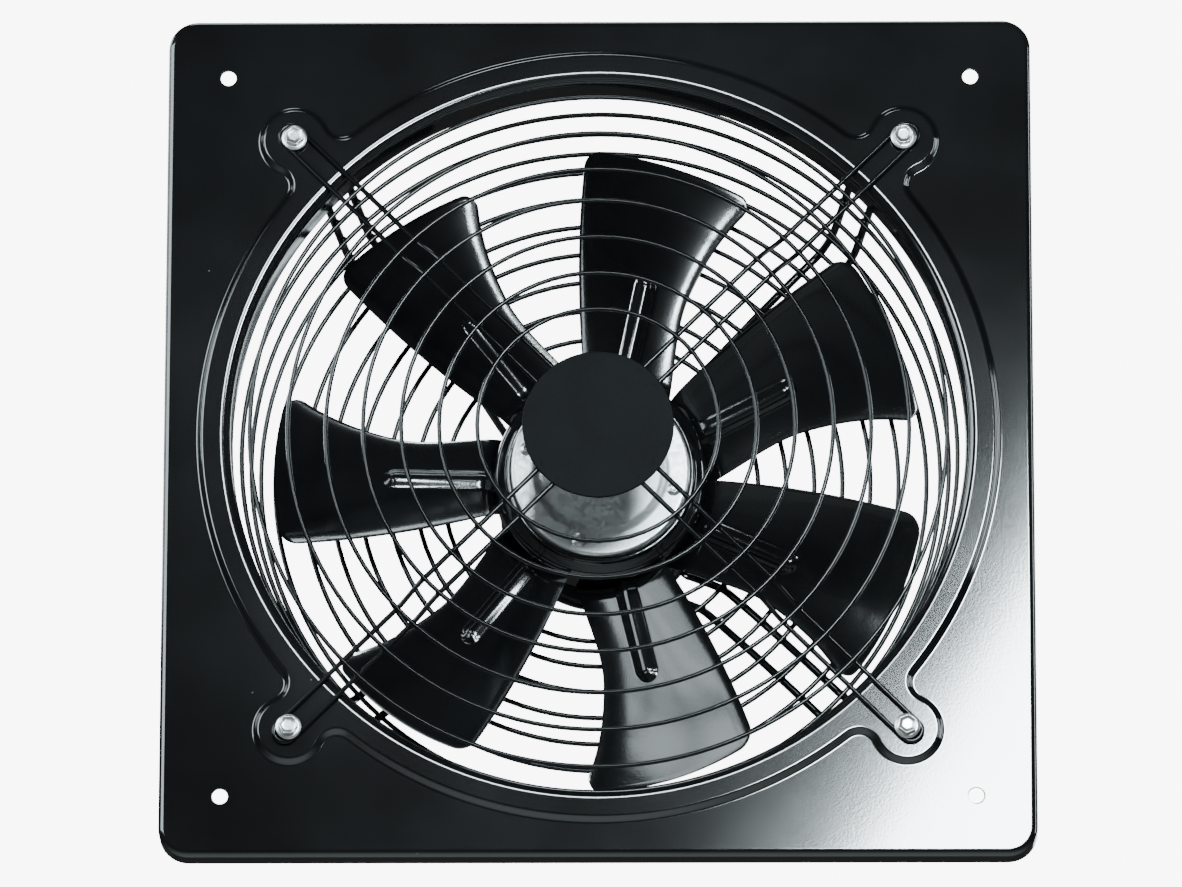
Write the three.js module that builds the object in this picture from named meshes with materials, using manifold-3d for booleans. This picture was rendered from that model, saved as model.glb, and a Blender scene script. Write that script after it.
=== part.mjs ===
import * as THREE from "three";
import { mergeVertices } from "three/addons/utils/BufferGeometryUtils.js";
import Module from "manifold-3d";

// Axial extractor fan on a square wall plate: an external-rotor motor with seven pressed blades hangs in a
// wire basket behind the plate, and a shallow wire guard closes the front.
// Millimetres. The fan axis is Y, the front faces -Y, +Z is up, and the wall plane is y = 0.

// Wall plate
const plateBorder = 20;
const plateCorner = 17;
const sheet = 1.5;
const rimDepth = 18;
const foldRadius = 3.5;
const fixingFromEdge = 35;
const fixingHoleRadius = 4.5;
const raisedHeight = 3.5;
const raisedWidth = 19;
const raisedSlope = 2.5;
const lobeRadius = 20;
const lobeFillet = 10;
const throatRadius = 211;
const lipRadius = 6;
const collarDepth = 23;
const strapWidth = 27;
const strapProud = 6;

// Guard bolts
const boltBeyondRaised = 19;
const boltRadius = 3;
const boltFlangeThickness = 1.5;
const boltHexRadius = 5.8;
const boltHexHeight = 4.5;
const nutWasherThickness = 1.5;
const nutHeight = 5;
const threadBeyondNut = 1.5;

// Front guard
const frontWireRadius = 1.3;
const frontArmRadius = 1.5;
const frontArmSpacing = 12.4;
const frontRingCount = 7;
const flatRingCount = 4;
const frontRingFirst = 69.3;
const frontRingInThroat = 11;
const domeHeight = 9;
const domeBend = 3.2;
const frontDiscRadius = 43.5;
const frontDiscThickness = 2;
const frontArmUnderDisc = 13.5;
const loopBeyondBolt = 3;

// Rear guard basket, which carries the motor
const rearWireRadius = 1.45;
const rearArmRadius = 2.4;
const rearArmSpacing = 17.5;
const sideRingCount = 3;
const sideRingBehindCollar = 22;
const basketInThroat = 4;
const basketTaper = 0.2;
const shoulderDepth = 12;
const faceRingCount = 7;
const faceInner = 92;
const faceDish = 15;
const mountDiscThickness = 3;
const mountDiscEdge = 8;

// Motor. Depths are measured behind the plate's front face.
const rotorRadius = 52;
const rotorWall = 2.5;
const rotorFaceDepth = 74;
const rotorLength = 58;
const rotorBossWall = 5.7;
const rotorBossLength = 10;
const rivetFromEdge = 7.5;
const rivetRadius = 2;
const rivetHeadRadius = 4;
const rivetHeadHeight = 1.8;
const rivetAngle = -16;
const shaftRadius = 6;
const bearingRadius = 16;
const bearingWidth = 10;
const bearingTubeWall = 3.7;
const airGap = 0.8;
const slotCount = 6;
const slotWidth = 9;
const coreYoke = 10;
const coreRim = 5.7;
const coilHeight = 9;
const coilClearance = 6;
const flangeGap = 2;
const flangeThickness = 6;
const flangeBossWall = 14;
const flangeBossLength = 25;
const motorScrewRadius = 2.5;
const motorScrewHeadRadius = 4.5;
const motorScrewHeadHeight = 3;
const motorScrewDepth = 9;
const glandThreadRadius = 6;
const glandHexRadius = 9;
const glandHexHeight = 6;
const glandCapRadius = 7;
const glandCapHeight = 9;
const glandBore = 3.5;

// Impeller. Blade angles are in degrees clockwise from the blade's own upright, seen from the front.
const bladeCount = 7;
const bladeThickness = 2;
const bladeTipInThroat = 21;
const bladeCorner = 10;
const hubBehindFace = 5;
const hubStep = 5;
const hubLength = 33;
const hubWidth = 9.7;
const hubWall = 2.5;
const leadingTip = -2.5;
const leadingSweep = 6.5;
const trailingWaist = 24.5;
const trailingTipFlare = 4;
const trailingRootFlare = 14;
const bladeWaist = 125;
const leadingInHub = 4;
const trailingInHub = 6;
const leadingSweepForward = 25;
const trailingSweepForward = 16;
const bladeCamber = 5;

// Clearances
const seatGap = 0.3;
const bladeSeat = 0.5;
const boltHoleSlack = 0.4;
const bladeToGuard = 13;
const coreToFlange = 3;
const glandToBoss = 4;
const armToBoss = 8;

// Radii and depths that follow from the sizes above
const raisedRadius = throatRadius + raisedWidth;
const boltCircle = raisedRadius + boltBeyondRaised;
const plateSide = 2 * (raisedRadius + plateBorder);
const boltFlangeRadius = frontArmSpacing / 2 + frontArmRadius - seatGap;
const nutWasherRadius = rearArmSpacing / 2 + rearArmRadius;
const frontRingPitch = (throatRadius - frontRingInThroat - frontRingFirst) / (frontRingCount - 1);
const frontRingRadius = (index) => frontRingFirst + index * frontRingPitch;
const domeInner = frontRingRadius(flatRingCount - 1) + domeBend;
const domeOuter = frontRingRadius(flatRingCount) - domeBend;
const hubRadius = rotorRadius + seatGap + hubWidth;
const hubFrontDepth = rotorFaceDepth + hubBehindFace;
const hubStepDepth = hubFrontDepth + hubStep;
const hubRearDepth = hubFrontDepth + hubLength;
const bladeTip = throatRadius - bladeTipInThroat;
const leadingRootDepth = hubFrontDepth + leadingInHub;
const trailingRootDepth = hubRearDepth - trailingInHub;
const leadingTipDepth = leadingRootDepth - leadingSweepForward;
const trailingTipDepth = trailingRootDepth - trailingSweepForward;
const faceDepth = trailingTipDepth + bladeToGuard;
const faceOuter = throatRadius - bladeTipInThroat;
const basketMouth = throatRadius - basketInThroat;
const sideRingDepth = collarDepth + sideRingBehindCollar;
const sideRingPitch = (faceDepth - shoulderDepth - sideRingDepth) / (sideRingCount - 1);
const flangeBossRadius = bearingRadius + flangeBossWall;
const mountDiscDepth = rotorFaceDepth + rotorLength + flangeGap + flangeThickness + flangeBossLength;
const motorScrewCircle = (bearingRadius + flangeBossRadius) / 2;
const glandOffset = flangeBossRadius + glandHexRadius + glandToBoss;
const mountDiscRadius = glandOffset + glandHexRadius + mountDiscEdge;
const rearArmReach = flangeBossRadius + armToBoss;

const corners = 4;
const plateFace = -rimDepth;
const raisedFace = plateFace - raisedHeight;
const raisedBack = raisedFace + sheet;
const degree = Math.PI / 180;
const behind = (depth) => plateFace + depth;

const wasm = await Module();
wasm.setup();

function toSolid(geometry) {
  const bare = geometry.clone();
  bare.deleteAttribute("normal");
  bare.deleteAttribute("uv");
  const merged = mergeVertices(bare, 1e-4);
  return new wasm.Manifold(
    new wasm.Mesh({
      numProp: 3,
      vertProperties: merged.attributes.position.array,
      triVerts: new Uint32Array(merged.index.array),
    }),
  );
}

function toGeometry(solid) {
  const mesh = solid.getMesh();
  return new THREE.BufferGeometry()
    .setAttribute("position", new THREE.BufferAttribute(mesh.vertProperties, 3))
    .setIndex(new THREE.BufferAttribute(mesh.triVerts, 1));
}

function joined(...geometries) {
  const solids = geometries.map(toSolid);
  return toGeometry(solids.reduce((whole, next) => whole.add(next)));
}

function cut(geometry, ...tools) {
  return toGeometry(tools.reduce((rest, tool) => rest.subtract(toSolid(tool)), toSolid(geometry)));
}

// A piece turned about Y from [radius, y] corners. The outline closes on itself, or runs from axis to axis.
function turned(outline, segments = 28) {
  const points = outline.map(([radius, y]) => new THREE.Vector2(radius, y));
  if (THREE.ShapeUtils.area(points) < 0) points.reverse();
  if (outline[0][0] > 0) points.push(points[0]);
  return new THREE.LatheGeometry(points, segments);
}

// A round bar along Y between two y values, at (x, z).
function bar(radius, yFront, yBack, segments = 12, x = 0, z = 0) {
  const length = yBack - yFront;
  const cylinder = new THREE.CylinderGeometry(radius, radius, length, segments);
  return cylinder.translate(x, yFront + length / 2, z);
}

// A flat outline in the XZ plane, extruded along Y between two y values. A bevel rounds both ends inwards.
function slab(shape, yFront, yBack, curveSegments, bevel = 0, bevelSteps = 1) {
  const geometry = new THREE.ExtrudeGeometry(shape, {
    depth: yBack - yFront - 2 * bevel,
    curveSegments,
    bevelEnabled: bevel > 0,
    bevelThickness: bevel,
    bevelSize: bevel,
    bevelOffset: -bevel,
    bevelSegments: bevelSteps,
  });
  return geometry.rotateX(Math.PI / 2).translate(0, yBack - bevel, 0);
}

// A bent wire's centre line. Point i of the path is corner i, whatever the corners' spacing.
class BentWire extends THREE.Curve {
  constructor(points) {
    super();
    this.points = points;
  }

  getPointAt(u, target = new THREE.Vector3()) {
    return target.copy(this.points[Math.round(u * (this.points.length - 1))]);
  }

  getTangentAt(u, target = new THREE.Vector3()) {
    const last = this.points.length - 1;
    const i = Math.round(u * last);
    const here = this.points[i];
    const arriving = here.clone().sub(this.points[Math.max(i - 1, 0)]).normalize();
    const leaving = this.points[Math.min(i + 1, last)].clone().sub(here).normalize();
    return target.addVectors(arriving, leaving).normalize();
  }
}

function wire(points, radius) {
  const section = new THREE.Shape();
  section.absarc(0, 0, radius, 0, 2 * Math.PI);
  return new THREE.ExtrudeGeometry(section, {
    extrudePath: new BentWire(points),
    steps: points.length - 1,
    curveSegments: 3,
  });
}

// A welded ring of wire about Y. Its flats touch the true radius, and a larger ring has more of them.
function wireRing(radius, wireRadius, y) {
  const radiusPerOctet = 53;
  const flats = 8 * Math.max(3, Math.ceil(radius / radiusPerOctet));
  const ring = new THREE.TorusGeometry(radius / Math.cos(Math.PI / flats), wireRadius, 5, flats);
  return ring.rotateX(Math.PI / 2).translate(0, y, 0);
}

// A hairpin wire with two legs either side of +X and a loop round the bolt at its outer end.
// The legs run through [radius from the fan axis, y] corners, from the inner end outwards.
function hairpin(legs, spacing, wireRadius) {
  const half = spacing / 2;
  const loopCentre = boltCircle + loopBeyondBolt;
  const loopY = legs[legs.length - 1][1];
  const leg = legs.map(([r, y]) => new THREE.Vector3(Math.sqrt(r * r - half * half), y, half));
  leg.push(new THREE.Vector3(loopCentre, loopY, half));
  const loop = [];
  const loopSteps = 6;
  for (let i = 1; i < loopSteps; i += 1) {
    const turn = (i / loopSteps) * Math.PI;
    loop.push(new THREE.Vector3(loopCentre + half * Math.sin(turn), loopY, half * Math.cos(turn)));
  }
  const back = leg.map((point) => new THREE.Vector3(point.x, point.y, -point.z)).reverse();
  return wire([...leg, ...loop, ...back], wireRadius);
}

function roundedSquare(side, radius) {
  const shape = new THREE.Shape();
  for (let k = 0; k < corners; k += 1) {
    const aim = (k + 0.5) * 0.5 * Math.PI;
    const reach = (side / 2 - radius) * Math.SQRT2;
    const x = reach * Math.cos(aim);
    const y = reach * Math.sin(aim);
    shape.absarc(x, y, radius, aim - Math.PI / 4, aim + Math.PI / 4);
  }
  shape.closePath();
  return shape;
}

// The raised field's outline: a circle with a lobe round each guard bolt, blended by fillets.
function raisedOutline(inset) {
  const main = raisedRadius - inset;
  const lobe = lobeRadius - inset;
  const fillet = lobeFillet + inset;
  const a = main + fillet;
  const b = lobe + fillet;
  const c = boltCircle;
  const turn = Math.acos((a * a + c * c - b * b) / (2 * a * c));
  const wrap = Math.acos((b * b + c * c - a * a) / (2 * b * c));
  const shape = new THREE.Shape();
  for (let k = 0; k < corners; k += 1) {
    const aim = (k + 0.5) * 0.5 * Math.PI;
    const before = aim - turn;
    const after = aim + turn;
    const nextBefore = aim + Math.PI / 2 - turn;
    shape.absarc(a * Math.cos(before), a * Math.sin(before), fillet, before + Math.PI, aim + wrap, true);
    shape.absarc(c * Math.cos(aim), c * Math.sin(aim), lobe, aim + wrap - Math.PI, aim - wrap + Math.PI);
    shape.absarc(a * Math.cos(after), a * Math.sin(after), fillet, aim - wrap, after - Math.PI, true);
    shape.absarc(0, 0, main, after, nextBefore);
  }
  shape.closePath();
  return shape;
}

// The air inlet's lip and collar, turned from the raised field's sheet.
function collar() {
  const bendCentre = throatRadius + lipRadius;
  const bendDepth = raisedFace + lipRadius;
  const outerBend = lipRadius - sheet;
  const join = bendCentre + 2 * sheet;
  const bend = (radius, angle) => [
    bendCentre - radius * Math.sin(angle * degree),
    bendDepth - radius * Math.cos(angle * degree),
  ];
  return turned(
    [
      [join, raisedFace],
      ...[0, 45, 90].map((angle) => bend(lipRadius, angle)),
      [throatRadius, behind(collarDepth)],
      [throatRadius + sheet, behind(collarDepth)],
      ...[90, 45, 0].map((angle) => bend(outerBend, angle)),
      [join, raisedBack],
    ],
    48,
  );
}

function wallPlate() {
  const pastWall = 4 * foldRadius;
  const pastPlate = behind(rimDepth + 2 * raisedHeight);
  const square = roundedSquare(plateSide, plateCorner);
  const innerSquare = roundedSquare(plateSide - 2 * sheet, plateCorner - sheet);
  const tray = slab(square, plateFace, pastWall, 3, foldRadius, 2);
  const field = slab(raisedOutline(0), raisedFace, pastPlate, 3, raisedSlope);
  const trayInside = slab(innerSquare, plateFace + sheet, 2 * pastWall, 3, foldRadius - sheet / 2, 2);
  const fieldInside = slab(raisedOutline(sheet), raisedBack, 2 * pastPlate, 3, raisedSlope - sheet / 2);
  const wall = new THREE.BoxGeometry(2 * plateSide, plateSide, 2 * plateSide).translate(0, plateSide / 2, 0);
  const opening = bar(throatRadius + lipRadius + sheet, -plateSide, plateSide, 48);
  const strap = new THREE.BoxGeometry(strapWidth, collarDepth, sheet);
  strap.translate(0, behind(collarDepth / 2 + strapProud), throatRadius + sheet + sheet / 3);
  const shell = cut(joined(tray, field), trayInside, fieldInside, wall, opening);
  const holes = [];
  for (let k = 0; k < corners; k += 1) {
    const aim = (k + 0.5) * 0.5 * Math.PI;
    const boltHole = boltRadius + boltHoleSlack;
    const fixing = (plateSide / 2 - fixingFromEdge) * Math.SQRT2;
    const front = 2 * raisedFace;
    holes.push(bar(boltHole, front, 0, 10, boltCircle * Math.cos(aim), boltCircle * Math.sin(aim)));
    holes.push(bar(fixingHoleRadius, front, 0, 12, fixing * Math.cos(aim), fixing * Math.sin(aim)));
  }
  return cut(joined(shell, collar(), strap), ...holes);
}

// Front guard
const frontArmSeat = raisedFace - seatGap - frontArmRadius;

function frontArmY(radius) {
  const rise = THREE.MathUtils.clamp((domeOuter - radius) / (domeOuter - domeInner), 0, 1);
  return frontArmSeat - domeHeight * rise;
}

function frontArm() {
  const innerEnd = frontDiscRadius - frontArmUnderDisc;
  const legs = [innerEnd, domeInner, domeOuter].map((radius) => [radius, frontArmY(radius)]);
  return hairpin(legs, frontArmSpacing, frontArmRadius);
}

function frontRing(index) {
  const radius = frontRingRadius(index);
  const y = frontArmY(radius) - frontArmRadius - seatGap - frontWireRadius;
  return wireRing(radius, frontWireRadius, y);
}

function frontDisc() {
  const back = frontArmY(0) - frontArmRadius - seatGap;
  return bar(frontDiscRadius, back - frontDiscThickness, back, 32);
}

// Rear guard
function rearRings() {
  const places = [];
  for (let i = 0; i < sideRingCount; i += 1) {
    const along = i * sideRingPitch;
    places.push([basketMouth - along * basketTaper, behind(sideRingDepth + along)]);
  }
  for (let i = 0; i < faceRingCount; i += 1) {
    const inwards = i / (faceRingCount - 1);
    const radius = THREE.MathUtils.lerp(faceOuter, faceInner, inwards);
    places.push([radius, behind(faceDepth + faceDish * inwards * inwards)]);
  }
  return places;
}

// The arms lie outside the rings, touch the collar's outside and end behind the motor's mounting disc.
function rearArm() {
  const rings = rearRings();
  const standOff = rearArmRadius + rearWireRadius + seatGap;
  const collarSeat = throatRadius + sheet + rearArmRadius + seatGap;
  const armSeat = raisedBack + seatGap + rearArmRadius;
  const discBack = behind(mountDiscDepth + mountDiscThickness) + seatGap + rearArmRadius;
  const discEdge = mountDiscRadius + seatGap + rearArmRadius;
  const outside = rings.map(([radius, y], i) => {
    const before = rings[Math.max(i - 1, 0)];
    const after = rings[Math.min(i + 1, rings.length - 1)];
    const along = new THREE.Vector2(after[0] - before[0], after[1] - before[1]).normalize();
    return [radius + standOff * along.y, y - standOff * along.x];
  });
  const legs = [
    [collarSeat + lipRadius, armSeat],
    [collarSeat, armSeat + lipRadius],
    [collarSeat, behind(collarDepth)],
    ...outside,
    [discEdge + rearArmRadius, behind(mountDiscDepth)],
    [discEdge, discBack],
    [rearArmReach, discBack],
  ];
  return hairpin(legs.reverse(), rearArmSpacing, rearArmRadius);
}

function motorScrewPlaces() {
  return [0, 1, 2, 3].map((k) => {
    const aim = k * 0.5 * Math.PI;
    return [motorScrewCircle * Math.cos(aim), motorScrewCircle * Math.sin(aim)];
  });
}

function mountDisc() {
  const front = behind(mountDiscDepth);
  const back = front + mountDiscThickness;
  const holes = motorScrewPlaces().map(([x, z]) => bar(motorScrewRadius + seatGap, front - 1, back + 1, 12, x, z));
  const glandHole = bar(glandThreadRadius + seatGap, front - 1, back + 1, 16, 0, -glandOffset);
  return cut(bar(mountDiscRadius, front, back, 40), ...holes, glandHole);
}

// Motor
const rotorFace = behind(rotorFaceDepth);
const rotorInside = rotorFace + rotorWall;
const rotorBack = rotorFace + rotorLength;
const rotorBore = rotorRadius - rotorWall;
const flangeFront = rotorBack + flangeGap;
const flangeBack = behind(mountDiscDepth) - seatGap;
const tubeFront = rotorInside + rotorBossLength + seatGap;
const bearingSeat = bearingRadius + seatGap;
const tubeOuter = bearingSeat + bearingTubeWall;
const rearBearing = flangeFront + flangeThickness / 2;
const boreEnd = rearBearing + bearingWidth + flangeGap;
const coreFront = rotorInside + coilClearance + coilHeight + seatGap;
const coreBack = rotorBack - coreToFlange - coilHeight - seatGap;
const slotInner = tubeOuter + coreYoke;
const slotOuter = rotorBore - airGap - coreRim;
const rotorBossRadius = shaftRadius + rotorBossWall;
const rivetCircle = rotorRadius - rivetFromEdge;
const flangeRadius = rotorRadius - flangeGap;

function rotorCan() {
  const boreFloor = rotorInside - seatGap;
  const can = turned(
    [
      [0, rotorFace],
      [rotorRadius - 1, rotorFace],
      [rotorRadius, rotorFace + 1],
      [rotorRadius, rotorBack],
      [rotorBore, rotorBack],
      [rotorBore, rotorInside],
      [rotorBossRadius, rotorInside],
      [rotorBossRadius, rotorInside + rotorBossLength],
      [shaftRadius + seatGap, rotorInside + rotorBossLength],
      [shaftRadius + seatGap, boreFloor],
      [0, boreFloor],
    ],
    36,
  );
  const holes = rivetPlaces().map(([x, z]) => bar(rivetRadius + seatGap, rotorFace - 1, rotorInside + 1, 12, x, z));
  return cut(can, ...holes);
}

function rivetPlaces() {
  return [0, 1, 2, 3].map((k) => {
    const aim = rivetAngle * degree - k * 0.5 * Math.PI;
    return [rivetCircle * Math.cos(aim), rivetCircle * Math.sin(aim)];
  });
}

function rivet(x, z) {
  const headBack = rotorFace - seatGap;
  const tail = rotorInside + seatGap;
  const outline = [
    [0, headBack - rivetHeadHeight],
    [rivetHeadRadius, headBack - rivetHeadHeight / 3],
    [rivetHeadRadius, headBack],
    [rivetRadius, headBack],
    [rivetRadius, tail],
    [rivetRadius * 1.5, tail],
    [0, tail + 1],
  ];
  return turned(outline, 10).translate(x, 0, z);
}

function shaft() {
  return bar(shaftRadius, rotorInside, rearBearing + bearingWidth, 20);
}

function bearing(front) {
  const bore = shaftRadius + seatGap;
  return turned(
    [
      [bore, front],
      [bearingRadius, front],
      [bearingRadius, front + bearingWidth],
      [bore, front + bearingWidth],
    ],
    24,
  );
}

function statorFlange() {
  const body = turned([
    [0, boreEnd],
    [bearingSeat, boreEnd],
    [bearingSeat, tubeFront],
    [tubeOuter, tubeFront],
    [tubeOuter, flangeFront],
    [flangeRadius, flangeFront],
    [flangeRadius, flangeFront + flangeThickness],
    [flangeBossRadius, flangeFront + flangeThickness],
    [flangeBossRadius, flangeBack],
    [0, flangeBack],
  ]);
  const holeFront = flangeBack - motorScrewDepth - seatGap;
  const holes = motorScrewPlaces().map(([x, z]) => bar(motorScrewRadius + seatGap, holeFront, flangeBack + 1, 12, x, z));
  return cut(body, ...holes);
}

// A box through each stator slot, with its sides moved in by the given clearance.
function slotBars(clearance, yFront, yBack) {
  const bars = [];
  for (let k = 0; k < slotCount; k += 1) {
    const radial = slotOuter - slotInner - 2 * clearance;
    const box = new THREE.BoxGeometry(radial, yBack - yFront, slotWidth - 2 * clearance);
    box.translate((slotInner + slotOuter) / 2, (yFront + yBack) / 2, 0);
    bars.push(box.rotateY((k / slotCount) * 2 * Math.PI));
  }
  return bars;
}

function statorCore() {
  const bore = tubeOuter + seatGap;
  const outer = rotorBore - airGap;
  const ring = turned(
    [
      [bore, coreFront],
      [outer, coreFront],
      [outer, coreBack],
      [bore, coreBack],
    ],
    36,
  );
  return cut(ring, ...slotBars(0, coreFront - 1, coreBack + 1));
}

function coilEnd(yFront) {
  return turned([
    [slotInner - 1, yFront],
    [slotOuter + 1, yFront],
    [slotOuter + 1, yFront + coilHeight],
    [slotInner - 1, yFront + coilHeight],
  ]);
}

function statorWinding() {
  const front = coreFront - seatGap - coilHeight;
  const back = coreBack + seatGap;
  return joined(coilEnd(front), coilEnd(back), ...slotBars(seatGap, front + 1, back + 1));
}

function motorScrew(x, z) {
  const headFront = behind(mountDiscDepth + mountDiscThickness) + seatGap;
  const outline = [
    [0, flangeBack - motorScrewDepth],
    [motorScrewRadius, flangeBack - motorScrewDepth],
    [motorScrewRadius, headFront],
    [motorScrewHeadRadius, headFront],
    [motorScrewHeadRadius, headFront + motorScrewHeadHeight],
    [0, headFront + motorScrewHeadHeight],
  ];
  return turned(outline, 12).translate(x, 0, z);
}

function cableGland() {
  const discBack = behind(mountDiscDepth + mountDiscThickness) + seatGap;
  const hexBack = discBack + glandHexHeight;
  const hex = bar(glandHexRadius, discBack, hexBack, 6);
  const thread = bar(glandThreadRadius, behind(mountDiscDepth) - 2 * sheet, discBack + 1, 16);
  const cap = bar(glandCapRadius, hexBack - 1, hexBack + glandCapHeight, 16);
  const bore = bar(glandBore, behind(0), hexBack + 2 * glandCapHeight, 12);
  return cut(joined(hex, thread, cap), bore).translate(0, 0, -glandOffset);
}

// Impeller
function hubBand() {
  const bore = rotorRadius + seatGap;
  const step = behind(hubStepDepth);
  const front = behind(hubFrontDepth);
  const back = behind(hubRearDepth);
  const sleeveBack = step + (back - step) / 3;
  return turned(
    [
      [bore, front],
      [bore + hubWall, front],
      [bore + hubWall, step],
      [hubRadius - 1, step],
      [hubRadius, step + 1],
      [hubRadius, back],
      [hubRadius - hubWall, back],
      [hubRadius - hubWall, step + hubWall],
      [bore + hubWall, step + hubWall],
      [bore + hubWall, sleeveBack],
      [bore, sleeveBack],
    ],
    42,
  );
}

const bladeRoot = hubRadius + bladeSeat + bladeThickness / 4;

function leadingAngle(radius) {
  return leadingTip - leadingSweep * ((bladeTip - radius) / (bladeTip - bladeRoot));
}

function trailingAngle(radius) {
  const outwards = Math.max(0, (radius - bladeWaist) / (bladeTip - bladeWaist));
  const inwards = Math.max(0, (bladeWaist - radius) / (bladeWaist - bladeRoot));
  return trailingWaist + trailingTipFlare * outwards ** 2 + trailingRootFlare * inwards ** 2;
}

// A point of the blade's middle surface, by shares across the chord and along the span.
function bladePoint(chord, span) {
  const cornerShare = 0.1;
  const intoCorner = Math.max(0, 1 - Math.min(chord, 1 - chord) / cornerShare);
  const tip = bladeTip - bladeCorner * (1 - Math.sqrt(1 - intoCorner ** 2));
  const radius = THREE.MathUtils.lerp(bladeRoot, tip, span);
  const angle = THREE.MathUtils.lerp(leadingAngle(radius), trailingAngle(radius), chord) * degree;
  const leadingDepth = THREE.MathUtils.lerp(leadingRootDepth, leadingTipDepth, span);
  const trailingDepth = THREE.MathUtils.lerp(trailingRootDepth, trailingTipDepth, span);
  const camber = 4 * bladeCamber * chord * (1 - chord);
  const depth = THREE.MathUtils.lerp(leadingDepth, trailingDepth, chord) + camber;
  return new THREE.Vector3(radius * Math.sin(angle), behind(depth), radius * Math.cos(angle));
}

function blade() {
  const chordSteps = 6;
  const spanSteps = 5;
  const step = 1e-3;
  const geometry = new THREE.BoxGeometry(1, 1, 1, chordSteps, spanSteps, 1);
  const place = geometry.attributes.position;
  for (let i = 0; i < place.count; i += 1) {
    const chord = 0.5 - 0.5 * Math.cos((place.getX(i) + 0.5) * Math.PI);
    const span = place.getY(i) + 0.5;
    const a = THREE.MathUtils.clamp(chord, step, 1 - step);
    const b = THREE.MathUtils.clamp(span, step, 1 - step);
    const across = bladePoint(a + step, b).sub(bladePoint(a - step, b));
    const along = bladePoint(a, b + step).sub(bladePoint(a, b - step));
    const normal = across.cross(along).normalize();
    const point = bladePoint(chord, span).addScaledVector(normal, place.getZ(i) * bladeThickness);
    place.setXYZ(i, point.x, point.y, point.z);
  }
  return geometry;
}

// Fasteners
function guardBolt() {
  const flangeBackY = raisedFace - 2 * frontArmRadius - 2 * seatGap;
  const flangeFrontY = flangeBackY - boltFlangeThickness;
  const flange = bar(boltFlangeRadius, flangeFrontY, flangeBackY, 20);
  const hex = bar(boltHexRadius, flangeFrontY - boltHexHeight, flangeFrontY + 1, 6);
  const shank = bar(boltRadius, flangeBackY - 1, nutBack + threadBeyondNut, 12);
  return joined(flange, hex, shank);
}

const nutFront = raisedBack + 2 * rearArmRadius + 2 * seatGap;
const nutBack = nutFront + nutWasherThickness + nutHeight;

function guardNut() {
  const washer = bar(nutWasherRadius, nutFront, nutFront + nutWasherThickness, 20);
  const hex = bar(boltHexRadius, nutFront + 1, nutBack, 6);
  return cut(joined(washer, hex), bar(boltRadius + seatGap, nutFront - 1, nutBack + 1, 12));
}

const paint = { color: 0x121415, roughness: 0.35, metalness: 0.1 };
const discPaint = { color: 0x23282a, roughness: 0.55, metalness: 0.1 };
const zinc = { color: 0xc9cbc8, roughness: 0.3, metalness: 0.9 };
const galvanised = { color: 0xb9bcbc, roughness: 0.4, metalness: 0.8 };
const steel = { color: 0x9b9d9f, roughness: 0.3, metalness: 0.9 };
const laminations = { color: 0x5d6063, roughness: 0.6, metalness: 0.7 };
const copper = { color: 0xa8603a, roughness: 0.45, metalness: 0.7 };
const castAluminium = { color: 0x8e9193, roughness: 0.5, metalness: 0.7 };
const nylon = { color: 0x1a1a1b, roughness: 0.6, metalness: 0 };

const fan = new THREE.Group();

function add(parent, name, geometry, finish, turnDegrees = 0) {
  const mesh = new THREE.Mesh(geometry, new THREE.MeshStandardMaterial(finish));
  mesh.name = name;
  mesh.rotation.y = turnDegrees * degree;
  parent.add(mesh);
  return mesh;
}

const frontGuard = new THREE.Group();
const rearGuard = new THREE.Group();
const motor = new THREE.Group();
const impeller = new THREE.Group();
fan.add(frontGuard, rearGuard, motor, impeller);

add(fan, "wall_plate", wallPlate(), paint);
add(frontGuard, "front_guard_disc", frontDisc(), discPaint);
for (let i = 0; i < frontRingCount; i += 1) {
  add(frontGuard, `front_guard_ring_${i + 1}`, frontRing(i), paint);
}
rearRings().forEach(([radius, y], i) => {
  add(rearGuard, `rear_guard_ring_${i + 1}`, wireRing(radius, rearWireRadius, y), paint);
});
for (let k = 0; k < corners; k += 1) {
  const turn = 45 + 90 * k;
  const boltX = boltCircle * Math.cos(turn * degree);
  const boltZ = -boltCircle * Math.sin(turn * degree);
  add(frontGuard, `front_guard_arm_${k + 1}`, frontArm(), paint, turn);
  add(rearGuard, `rear_guard_arm_${k + 1}`, rearArm(), paint, turn);
  add(fan, `guard_bolt_${k + 1}`, guardBolt(), zinc).position.set(boltX, 0, boltZ);
  add(fan, `guard_nut_${k + 1}`, guardNut(), zinc).position.set(boltX, 0, boltZ);
}
add(rearGuard, "motor_mount_disc", mountDisc(), paint);

add(motor, "stator_flange", statorFlange(), castAluminium);
add(motor, "stator_core", statorCore(), laminations);
add(motor, "stator_winding", statorWinding(), copper);
add(motor, "bearing_front", bearing(tubeFront + seatGap), steel);
add(motor, "bearing_rear", bearing(rearBearing), steel);
add(motor, "cable_gland", cableGland(), nylon);
motorScrewPlaces().forEach(([x, z], i) => {
  add(motor, `motor_screw_${i + 1}`, motorScrew(x, z), zinc);
});

add(impeller, "rotor_can", rotorCan(), galvanised);
add(impeller, "shaft", shaft(), steel);
add(impeller, "hub_band", hubBand(), paint);
rivetPlaces().forEach(([x, z], i) => {
  add(impeller, `rotor_rivet_${i + 1}`, rivet(x, z), zinc);
});
for (let k = 0; k < bladeCount; k += 1) {
  add(impeller, `blade_${k + 1}`, blade(), paint, (360 / bladeCount) * k);
}

export default fan;
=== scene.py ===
import math
import bmesh
import bpy
from mathutils import Matrix, Vector


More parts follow.
